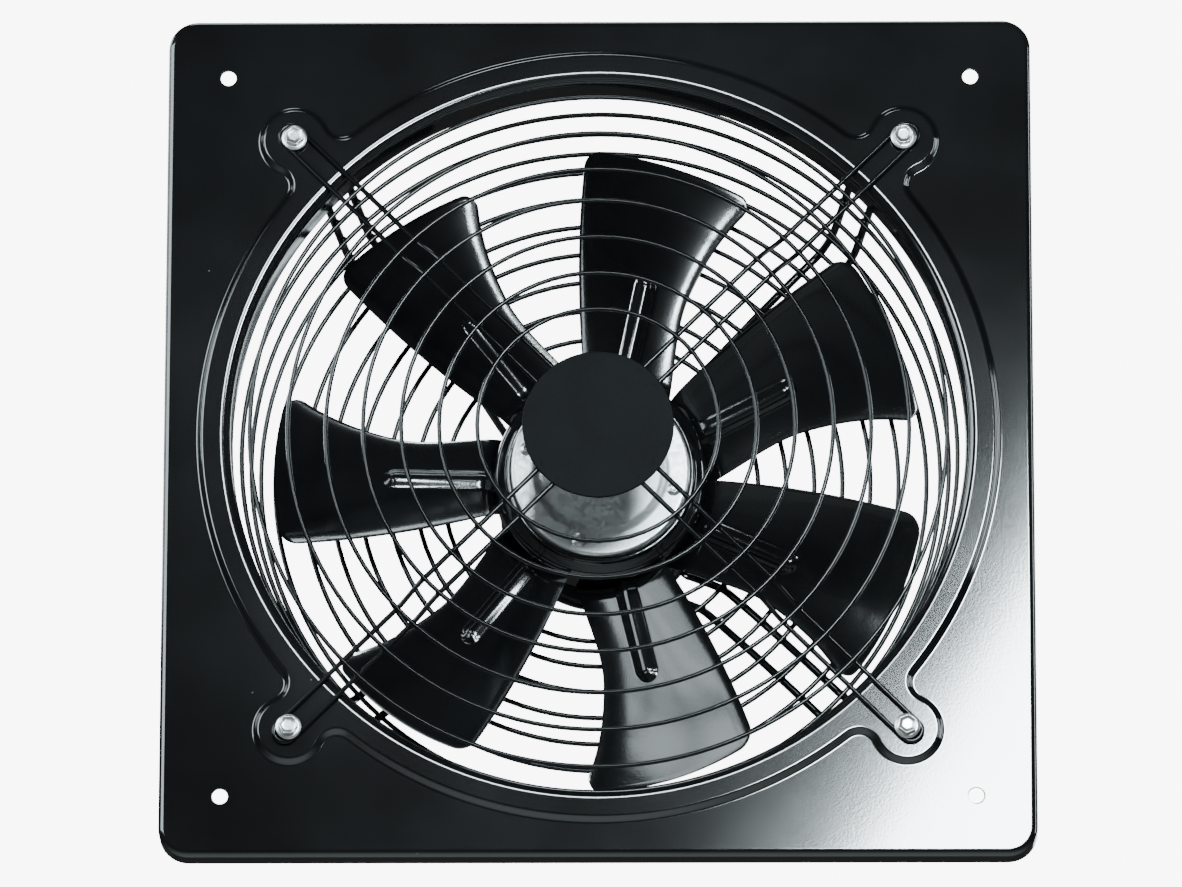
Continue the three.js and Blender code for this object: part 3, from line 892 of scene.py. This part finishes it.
def outsideRing(i, distance):
    # the [radius, y] point that far outside ring i, square to the basket
    before = Vector(rearRings[max(i - 1, 0)])
    after = Vector(rearRings[min(i + 1, len(rearRings) - 1)])
    along = (after - before).normalized()
    radius, y = rearRings[i]
    return radius + distance * along.y, y - distance * along.x


def makeRearGuard():
    order = range(len(rearRings))
    wire = rearGuard["wire"]
    welds = [outsideRing(i, wire + gap / 2) for i in order]
    makeRings("rearRing", "rear_guard_ring", rearRings, welds, rearGuard)
    arm = rearGuard["armWire"]
    collarSeat = throatRadius + plate["sheet"] + arm + gap
    wallSeat = raisedFace + plate["sheet"] + gap + arm
    discBack = discHigh.y + gap + arm
    discEdge = discHigh.z + gap + arm
    legs = [
        (mountDisc["armReach"], discBack),
        (discEdge, discBack),
        (discEdge + arm, discLow.y),
        *[outsideRing(i, arm + wire + gap) for i in reversed(order)],
        (collarSeat, plateFace + plate["collarDepth"]),
        (collarSeat, wallSeat + plate["lip"]),
        (collarSeat + plate["lip"], wallSeat),
    ]
    makeArms("rearArm", "rear_guard_arm", legs, rearGuard)


makeRearGuard()
print("rear guard made")


# Motor and its mounting disc

def makeMountDisc():
    screws = [onAxisOf(f"motor_screw_{k + 1}") for k in range(mountDisc["screws"])]
    holes = [(mountDisc["screwHole"], spot) for spot in screws]
    holes.append((mountDisc["glandHole"], onAxisOf("cable_gland")))
    front = discLow.y
    bm = bmesh.new()
    loops = [addLoop(bm, circleOutline(discHigh.z, 0, front, 0, mountDisc["steps"]))]
    for radius, (x, _, z) in holes:
        loops.append(addLoop(bm, circleOutline(radius, x, front, z, mountDisc["holeSteps"])))
    fillFlat(bm, loops)
    made = bmesh.ops.extrude_face_region(bm, geom=bm.faces[:])["geom"]
    moved = [item for item in made if isinstance(item, bmesh.types.BMVert)]
    bmesh.ops.translate(bm, verts=moved, vec=(0, discHigh.y - front, 0))
    modifiers = [edgeBevel(mountDisc["edge"], 3), evenShading]
    finishPiece("mountDisc", bm, "black_paint", "root", ["motor_mount_disc"], modifiers)


motorScrew = {
    "shank": 0.0025,
    "pitch": 0.0008,
    "headSides": 36,
    "headEdge": 0.0009,
    "socket": 0.0019,
    "socketDepth": 0.0018,
}


def addSocketHead(bm, radius, yFront, yBack):
    # a round head with a hexagon socket sunk into its outer face, which looks along +Y
    look = motorScrew
    top = max(addPrism(bm, look["headSides"], radius, yFront, yBack), key=faceY)
    roundEdges(bm, top.edges[:], look["headEdge"], 4)
    top = max((face for face in bm.faces if len(face.verts) == look["headSides"]), key=faceY)
    bmesh.ops.delete(bm, geom=[top], context="FACES_ONLY")
    rimEdges = [edge for edge in bm.edges if edge.is_boundary]
    socketEdges = loopEdges(bm, addLoop(bm, circleOutline(look["socket"], 0, yBack, 0, 6)))
    bmesh.ops.triangle_fill(bm, use_beauty=True, edges=rimEdges + socketEdges, normal=(0, 1, 0))
    sunk = bmesh.ops.extrude_edge_only(bm, edges=socketEdges)["geom"]
    verts = [item for item in sunk if isinstance(item, bmesh.types.BMVert)]
    edges = [item for item in sunk if isinstance(item, bmesh.types.BMEdge)]
    bmesh.ops.translate(bm, verts=verts, vec=(0, -look["socketDepth"], 0))
    bmesh.ops.contextual_create(bm, geom=edges)


def makeMotorScrews():
    headFront = discHigh.y + gap
    for k in range(mountDisc["screws"]):
        node = f"motor_screw_{k + 1}"
        low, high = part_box(node)
        bm = bmesh.new()
        addSocketHead(bm, (high.z - low.z) / 2, headFront, high.y)
        addThread(bm, motorScrew["shank"], low.y, headFront, motorScrew["pitch"])
        moveAll(bm, onAxisOf(node))
        finishPiece(f"motorScrew{k + 1}", bm, "zinc_plate", "root", [node], [evenShading])


gland = {
    "hex": 0.009,
    "hexLength": 0.006,
    "hexEdge": 0.0006,
    "thread": 0.006,
    "bore": 0.0035,
    "cap": 0.007,
    "capSunk": 0.001,
    "capSlope": (0.0022, 0.0025),
    "bend": 0.0008,
    "flutes": 18,
    "flute": (0.0006, 0.0028, 0.0008),
    "fluteSunk": 0.0003,
}


def makeGland():
    low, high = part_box("cable_gland")
    cap, thread, bore = gland["cap"], gland["thread"], gland["bore"]
    inwards, forwards = gland["capSlope"]
    hexFront = discHigh.y + gap
    hexBack = hexFront + gland["hexLength"]
    bm = bmesh.new()
    addPrism(bm, 6, gland["hex"], hexFront, hexBack)
    roundEdges(bm, bm.edges[:], gland["hexEdge"], 3)
    outline = [
        (bore, low.y),
        (thread, low.y),
        (thread, hexBack - gland["capSunk"]),
        (cap, hexBack - gland["capSunk"]),
        (cap, high.y - forwards),
        (cap - inwards, high.y),
        (bore, high.y),
    ]
    addTurned(bm, softened(outline, gland["bend"], 3, closed=True), 72, closed=True)
    middle = (hexBack + high.y - forwards) / 2
    for k in range(gland["flutes"]):
        turn = k * 2 * math.pi / gland["flutes"]
        spot = Vector((cap - gland["fluteSunk"], middle, 0))
        addBead(bm, aboutAxis(turn) @ spot, gland["flute"], turn)
    moveAll(bm, onAxisOf("cable_gland"))
    finishPiece("cableGland", bm, "black_nylon", "root", ["cable_gland"], [evenShading])


flange = {
    "fromCan": 0.002,
    "thickness": 0.006,
    "tube": 0.020,
    "seat": 0.0163,
    "boreEnd": 0.131,
    "boss": 0.030,
    "bossFoot": 0.004,
    "bossDraft": 0.001,
    "bend": 0.0015,
    "fins": 12,
    "finShare": 0.55,
    "finSize": (0.016, 0.0028),
    "finOut": 0.0065,
    "finSunk": 0.0005,
    "finLow": 0.0045,
    "finEdge": 0.0006,
}


def addFin(bm, back, depth, turn):
    # a radial rib that slopes down from `depth` at the boss to `finLow` at its outer end
    length, width = flange["finSize"]
    reach = flange["boss"] + flange["finOut"]
    place = Matrix.Translation((reach, back + depth / 2 - flange["finSunk"], 0))
    shape = aboutAxis(turn) @ place @ Matrix.Diagonal((length, depth, width, 1))
    verts = bmesh.ops.create_cube(bm, size=1, matrix=shape)["verts"]
    outer = [v for v in verts if v.co.y > back and math.hypot(v.co.x, v.co.z) > reach]
    bmesh.ops.translate(bm, verts=outer, vec=(0, flange["finLow"] - depth, 0))
    edges = unique(edge for vert in verts for edge in vert.link_edges)
    roundEdges(bm, edges, flange["finEdge"], 2)


def makeStatorFlange():
    low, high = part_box("stator_flange")
    tube, seat, boss = flange["tube"], flange["seat"], flange["boss"]
    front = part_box("rotor_can")[1].y + flange["fromCan"]
    back = front + flange["thickness"]
    outline = [
        (0, flange["boreEnd"]),
        (seat, flange["boreEnd"]),
        (seat, low.y),
        (tube, low.y),
        (tube, front),
        (high.z, front),
        (high.z, back),
        (boss + flange["bossFoot"], back),
        (boss, back + flange["bossFoot"]),
        (boss - flange["bossDraft"], high.y),
        (0, high.y),
    ]
    bm = bmesh.new()
    addTurned(bm, softened(outline, flange["bend"], 3), 96)
    for k in range(flange["fins"]):
        turn = (k + 0.5) * 2 * math.pi / flange["fins"]
        addFin(bm, back, (high.y - back) * flange["finShare"], turn)
    finishPiece("statorFlange", bm, "cast_aluminium", "root", ["stator_flange"], [evenShading])


rotor = {
    "wall": 0.0025,
    "edge": 0.0022,
    "dishRadius": 0.036,
    "dishStep": 0.0035,
    "dishDepth": 0.0011,
    "boss": 0.0117,
    "bossLength": 0.010,
    "shaft": 0.0063,
}


def makeRotor():
    low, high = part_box("rotor_can")
    radius = high.z
    wall, boss, shaft, dish = rotor["wall"], rotor["boss"], rotor["shaft"], rotor["dishRadius"]
    inside = low.y + wall
    bossBack = inside + rotor["bossLength"]
    outline = [
        (0, low.y + rotor["dishDepth"]),
        (dish, low.y + rotor["dishDepth"]),
        (dish + rotor["dishStep"], low.y),
        (radius, low.y),
        (radius, high.y),
        (radius - wall, high.y),
        (radius - wall, inside),
        (boss, inside),
        (boss, bossBack),
        (shaft, bossBack),
        (shaft, inside - gap / 2),
        (0, inside - gap / 2),
    ]
    bm = bmesh.new()
    addTurned(bm, softened(outline, rotor["edge"], 6), 144)
    finishPiece("rotorCan", bm, "galvanised_steel", "impeller", ["rotor_can"], [evenShading])


rivet = {
    "shank": 0.0021,
    "tail": 0.0030,
    "tailThickness": 0.001,
    "dimple": 0.0011,
    "dimpleDepth": 0.0007,
    "dimpleSlope": 0.0004,
    "crownShare": 0.55,
    "crownDrop": 0.0001,
    "rimDrop": 0.0011,
    "bend": 0.0004,
}


def makeRivets():
    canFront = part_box("rotor_can")[0].y
    for k in range(corners):
        node = f"rotor_rivet_{k + 1}"
        low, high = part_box(node)
        head = (high.z - low.z) / 2
        dimpleY = low.y + rivet["dimpleDepth"]
        tailFront = high.y - rivet["tailThickness"]
        outline = [
            (0, dimpleY),
            (rivet["dimple"], dimpleY),
            (rivet["dimple"] + rivet["dimpleSlope"], low.y),
            (head * rivet["crownShare"], low.y + rivet["crownDrop"]),
            (head, low.y + rivet["rimDrop"]),
            (head, canFront),
            (rivet["shank"], canFront),
            (rivet["shank"], tailFront),
            (rivet["tail"], tailFront),
            (0, high.y),
        ]
        bm = bmesh.new()
        addTurned(bm, softened(outline, rivet["bend"], 3), 32)
        moveAll(bm, onAxisOf(node))
        finishPiece(f"rotorRivet{k + 1}", bm, "zinc_plate", "impeller", [node], [evenShading])


makeMountDisc()
makeMotorScrews()
makeGland()
makeStatorFlange()
makeRotor()
makeRivets()
print("motor made")


# Impeller. Angles are in degrees clockwise from a blade's own upright, seen from the front.

hub = {"wall": 0.0025, "step": 0.005, "slope": 0.003, "edge": 0.0045}


def makeHubBand():
    # a sleeve on the rotor can, flared into the drum that carries the blades
    low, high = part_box("hub_band")
    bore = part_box("rotor_can")[1].z + gap
    outer = high.z
    wall, slope = hub["wall"], hub["slope"]
    step = low.y + hub["step"]
    sleeveBack = step + (high.y - step) / 3
    outline = [
        (bore, low.y),
        (bore + wall, low.y),
        (bore + wall, step - slope / 2),
        (outer, step + slope),
        (outer, high.y),
        (outer - wall, high.y),
        (outer - wall, step + slope + wall),
        (bore + wall, step + wall),
        (bore + wall, sleeveBack),
        (bore, sleeveBack),
    ]
    bm = bmesh.new()
    addTurned(bm, softened(outline, hub["edge"], 6, closed=True), 160, closed=True)
    finishPiece("hubBand", bm, "black_paint", "impeller", ["hub_band"], [evenShading])


blade = {
    "count": 7,
    "thickness": 0.002,
    "edge": 0.0004,
    "root": 0.0630,
    "tip": 0.190,
    "cornerRadius": 0.010,
    "cornerShare": 0.1,
    "leadingTip": -2.5,
    "leadingSweep": 6.5,
    "trailingWaist": 24.5,
    "trailingTipFlare": 4,
    "trailingRootFlare": 14,
    "waist": 0.125,
    "leadingY": (0.065, 0.040),
    "trailingY": (0.088, 0.072),
    "camber": 0.005,
    "ribTurn": 12.5,
    "ribEnd": 0.128,
    "ribHalf": 0.0068,
    "ribHeight": 0.0034,
    "ribSharpness": 1.4,
    "footReach": 0.011,
    "footCurl": 0.0042,
    "chordSteps": 100,
    "spanSteps": 104,
    "weld": 0.0011,
    "weldFrom": 0.02,
    "weldLength": 0.94,
    "weldSteps": 40,
}


def lerp(first, second, share):
    return first + (second - first) * share


def bladeSheet(chord, span):
    look = blade
    intoCorner = max(0.0, 1 - min(chord, 1 - chord) / look["cornerShare"])
    rounding = 1 - math.sqrt(1 - min(1.0, intoCorner) ** 2)
    radius = lerp(look["root"], look["tip"] - look["cornerRadius"] * rounding, span)
    reach = (look["tip"] - radius) / (look["tip"] - look["root"])
    leading = look["leadingTip"] - look["leadingSweep"] * reach
    outwards = max(0.0, (radius - look["waist"]) / (look["tip"] - look["waist"]))
    inwards = max(0.0, (look["waist"] - radius) / (look["waist"] - look["root"]))
    trailing = look["trailingWaist"] + look["trailingTipFlare"] * outwards ** 2
    trailing += look["trailingRootFlare"] * inwards ** 2
    angle = math.radians(lerp(leading, trailing, chord))
    y = lerp(lerp(*look["leadingY"], span), lerp(*look["trailingY"], span), chord)
    y += 4 * look["camber"] * chord * (1 - chord)
    foot = max(0.0, 1 - (radius - look["root"]) / look["footReach"])
    y += look["footCurl"] * foot ** 2
    return Vector((radius * math.sin(angle), y, radius * math.cos(angle)))


def ribRise(point):
    # a pressed stiffening rib runs out from the hub and ends round
    turn = math.radians(blade["ribTurn"])
    along = point.x * math.sin(turn) + point.z * math.cos(turn)
    aside = point.x * math.cos(turn) - point.z * math.sin(turn)
    beyond = max(0.0, along - (blade["ribEnd"] - blade["ribHalf"]))
    away = math.hypot(aside, beyond) / blade["ribHalf"]
    return blade["ribHeight"] * math.cos(min(away, 1.0) * math.pi / 2) ** blade["ribSharpness"]


def bladePoint(chord, span):
    step = 1e-3
    a = min(max(chord, step), 1 - step)
    b = min(max(span, step), 1 - step)
    across = bladeSheet(a + step, b) - bladeSheet(a - step, b)
    along = bladeSheet(a, b + step) - bladeSheet(a, b - step)
    front = along.cross(across).normalized()
    if front.y > 0:
        front.negate()
    point = bladeSheet(chord, span)
    return point + front * ribRise(point)


def bladeMesh():
    sheet = bmesh.new()
    bmesh.ops.create_grid(sheet, x_segments=blade["chordSteps"], y_segments=blade["spanSteps"], size=0.5)
    for vert in sheet.verts:
        chord = 0.5 - 0.5 * math.cos((vert.co.x + 0.5) * math.pi)
        vert.co = bladePoint(chord, vert.co.y + 0.5)
    bmesh.ops.solidify(sheet, geom=sheet.faces[:], thickness=blade["thickness"])
    bmesh.ops.recalc_face_normals(sheet, faces=sheet.faces)
    mesh = bpy.data.meshes.new("bladeShape")
    sheet.to_mesh(mesh)
    sheet.free()
    return mesh


def makeBlades():
    shape = bladeMesh()
    steps = blade["weldSteps"]
    chords = [blade["weldFrom"] + blade["weldLength"] * j / steps for j in range(steps + 1)]
    root = [bladePoint(chord, 0.0) for chord in chords]
    modifiers = [edgeBevel(blade["edge"], 2)]
    for k in range(blade["count"]):
        turn = 2 * math.pi * k / blade["count"]
        bm = bmesh.new()
        bm.from_mesh(shape)
        bmesh.ops.transform(bm, matrix=aboutAxis(turn), verts=bm.verts)
        addTube(bm, turnedAbout(root, turn), blade["weld"], 2)
        nodes = [f"blade_{k + 1}"]
        finishPiece(f"fanBlade{k + 1}", bm, "black_paint", "impeller", nodes, modifiers, "blade_paint")
    bpy.data.meshes.remove(shape)


makeHubBand()
makeBlades()
print("impeller made")


# Guard bolts and their nuts

bolt = {
    "flange": 0.0074,
    "flangeThickness": 0.0015,
    "flangeRim": 0.6,
    "hex": 0.0058,
    "hexSunk": 0.0003,
    "shank": 0.003,
    "pitch": 0.001,
    "dish": 0.0034,
    "dishDepth": 0.0012,
    "chamfer": 0.0006,
    "bend": 0.0004,
    "turns": (8, 31, 52, 20),
    "washer": 0.01115,
    "washerThickness": 0.0015,
    "nutInset": 0.6,
    "nutChamfer": 0.00042,
}


def addBoltHead(bm, yFront, flangeBack, turn):
    flangeFront = flangeBack - bolt["flangeThickness"]
    faces = addPrism(bm, 6, bolt["hex"], yFront, flangeFront + bolt["hexSunk"], turn)
    front = min(faces, key=faceY)
    bmesh.ops.inset_region(bm, faces=[front], thickness=bolt["hex"] - bolt["dish"], depth=0)
    bmesh.ops.translate(bm, verts=front.verts, vec=(0, bolt["dishDepth"], 0))
    edges = unique(edge for face in faces if face.is_valid for edge in face.edges)
    roundEdges(bm, edges, bolt["chamfer"], 3)
    outline = [
        (0, flangeBack),
        (bolt["flange"], flangeBack),
        (bolt["flange"], flangeBack - bolt["flangeThickness"] * bolt["flangeRim"]),
        (bolt["hex"], flangeFront),
        (0, flangeFront),
    ]
    addTurned(bm, softened(outline, bolt["bend"], 3), 48)


def makeBolt(k):
    node = f"guard_bolt_{k + 1}"
    low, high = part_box(node)
    flangeBack = raisedFace - 2 * frontGuard["armWire"] - 2 * gap
    bm = bmesh.new()
    addBoltHead(bm, low.y, flangeBack, math.radians(bolt["turns"][k]))
    addThread(bm, bolt["shank"], flangeBack, high.y, bolt["pitch"])
    moveAll(bm, onAxisOf(node))
    finishPiece(f"guardBolt{k + 1}", bm, "zinc_plate", "root", [node], [evenShading])


def makeNut(k):
    node = f"guard_nut_{k + 1}"
    low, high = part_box(node)
    bore = bolt["shank"] + gap
    hexFront = low.y + bolt["washerThickness"]
    bm = bmesh.new()
    outline = [(bore, low.y), (bolt["washer"], low.y), (bolt["washer"], hexFront), (bore, hexFront)]
    addTurned(bm, softened(outline, bolt["bend"], 3, closed=True), 56, closed=True)
    faces = addPrism(bm, 6, bolt["hex"], hexFront, high.y, math.radians(bolt["turns"][-1 - k]))
    caps = [max(faces, key=faceY), min(faces, key=faceY)]
    inset = (bolt["hex"] - bore) * bolt["nutInset"]
    for cap in caps:
        bmesh.ops.inset_region(bm, faces=[cap], thickness=inset, depth=0)
    sides = [face for face in faces if face.is_valid and face not in caps]
    roundEdges(bm, unique(edge for face in sides for edge in face.edges), bolt["nutChamfer"], 3)
    moveAll(bm, onAxisOf(f"guard_bolt_{k + 1}"))
    finishPiece(f"guardNut{k + 1}", bm, "zinc_plate", "root", [node], [evenShading])


for k in range(corners):
    makeBolt(k)
    makeNut(k)
print("fasteners made")


# The motor's inner pieces keep their CAD shape

kept = {
    "stator_core": "laminations",
    "stator_winding": "copper_wire",
    "bearing_front": "bearing_steel",
    "bearing_rear": "bearing_steel",
    "shaft": "bearing_steel",
}
for node, slot in kept.items():
    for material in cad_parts[node].material_slots:
        material.material = finishes[slot]


# Studio: floor, world, lights and camera. Only the camera sees the floor glow and the bright backdrop.

studio = {
    "floorZ": -2.1,
    "floorSize": 40,
    "floorTones": ((0.80, 0.80, 0.79, 1), (0.76, 0.76, 0.75, 1)),
    "floorCloud": (1.3, 4),
    "floorRoughness": 0.75,
    "floorCloudRough": 0.1,
    "floorGlow": 2.2,
    "backdrop": 8.5,
    "lightColour": (0.84, 0.96, 1.0),
    "room": 0.05,
}


def makeFloor():
    material, graph = newFinish("paleFloor")
    cloud = graph.noise(graph.coordinates(), *studio["floorCloud"])
    seen = graph.node("ShaderNodeLightPath", out="Is Camera Ray")
    surface(graph, {
        "Base Color": graph.mix(cloud, *studio["floorTones"]),
        "Roughness": studio["floorRoughness"] + cloud * studio["floorCloudRough"],
        "Emission Color": graph.mix(seen, (0, 0, 0, 1), studio["floorTones"][0]),
        "Emission Strength": studio["floorGlow"],
    })
    mesh = bpy.data.meshes.new("floor")
    bm = bmesh.new()
    place = Matrix.Translation((0, 0, studio["floorZ"]))
    bmesh.ops.create_grid(bm, x_segments=2, y_segments=2, size=studio["floorSize"], matrix=place)
    bm.to_mesh(mesh)
    bm.free()
    mesh.materials.append(material)
    floor = bpy.data.objects.new("floor", mesh)
    bpy.context.scene.collection.objects.link(floor)


def makeWorld():
    world = bpy.data.worlds.new("studio")
    world.use_nodes = True
    bpy.context.scene.world = world
    graph = Graph(world.node_tree)
    seen = graph.node("ShaderNodeLightPath", out="Is Camera Ray")
    strength = seen * (studio["backdrop"] - studio["room"]) + studio["room"]
    sky = graph.node("ShaderNodeBackground", sockets={"Color": (1, 1, 1, 1), "Strength": strength})
    graph.node("ShaderNodeOutputWorld", sockets={"Surface": sky})


# name: place, the point it faces, width, height, roll in degrees, power in watts
lights = {
    "glareBox": ((0.312, -1.50, 0.184), (0.12, 0, -0.16), 0.18, 0.42, -33, 27),
    "sheenBox": ((-1.12, -0.86, 0.36), (0.05, 0.05, -0.12), 1.1, 0.84, 0, 25),
    "rotorBox": ((-0.03, -1.65, 0.46), (0, 0, 0), 0.22, 0.22, 0, 6),
    "leftStrip": ((-1.7, 0.1, 0.9), (0, 0, 0), 0.2, 1.2, 0, 9),
    "rightStrip": ((1.8, -0.35, 0.25), (0, 0, 0), 0.2, 1.0, 0, 9),
    "overhead": ((-0.1, 0.15, 1.9), (0, 0, 0), 1.2, 0.4, 0, 16),
    "backLeft": ((-1.5, 1.7, 1.0), (0, 0, 0), 1.0, 1.0, 0, 40),
    "backRight": ((1.6, 1.6, 0.3), (0, 0, 0), 0.6, 1.4, 0, 30),
    "backPanel": ((0.50, 2.4, 0.55), (0, 0, 0), 0.8, 0.9, 0, 6),
}


def makeLights():
    for name, (place, aim, width, height, roll, power) in lights.items():
        light = bpy.data.lights.new(name, "AREA")
        light.shape = "RECTANGLE"
        light.size = width
        light.size_y = height
        light.energy = power
        light.color = studio["lightColour"]
        holder = bpy.data.objects.new(name, light)
        toward = Vector(aim) - Vector(place)
        upright = toward.to_track_quat("-Z", "Y").to_matrix().to_4x4()
        rolled = upright @ Matrix.Rotation(math.radians(roll), 4, "Z")
        holder.matrix_world = Matrix.Translation(place) @ rolled
        holder.visible_camera = False
        bpy.context.scene.collection.objects.link(holder)


view = {
    "distance": 6.0,
    "azimuth": 0.835,
    "elevation": -16.389,
    "roll": 0.116,
    "target": (-0.0043, plateFace, -0.0063),
    "lens": 318.4,
    "clipEnd": 100,
}


def makeCamera():
    azimuth = math.radians(view["azimuth"])
    elevation = math.radians(view["elevation"])
    roll = math.radians(view["roll"])
    level = math.cos(elevation)
    back = Vector((math.sin(azimuth) * level, -math.cos(azimuth) * level, math.sin(elevation)))
    right = Vector((math.cos(azimuth), math.sin(azimuth), 0))
    up = back.cross(right)
    right = right * math.cos(roll) + up * math.sin(roll)
    up = back.cross(right)
    data = bpy.data.cameras.new("camera")
    data.lens = view["lens"]
    data.clip_end = view["clipEnd"]
    camera = bpy.data.objects.new("camera", data)
    stand = Matrix.Translation(Vector(view["target"]) + back * view["distance"])
    camera.matrix_world = stand @ Matrix((right, up, back)).transposed().to_4x4()
    bpy.context.scene.collection.objects.link(camera)
    bpy.context.scene.camera = camera


makeFloor()
makeWorld()
makeLights()
makeCamera()
print("studio ready")
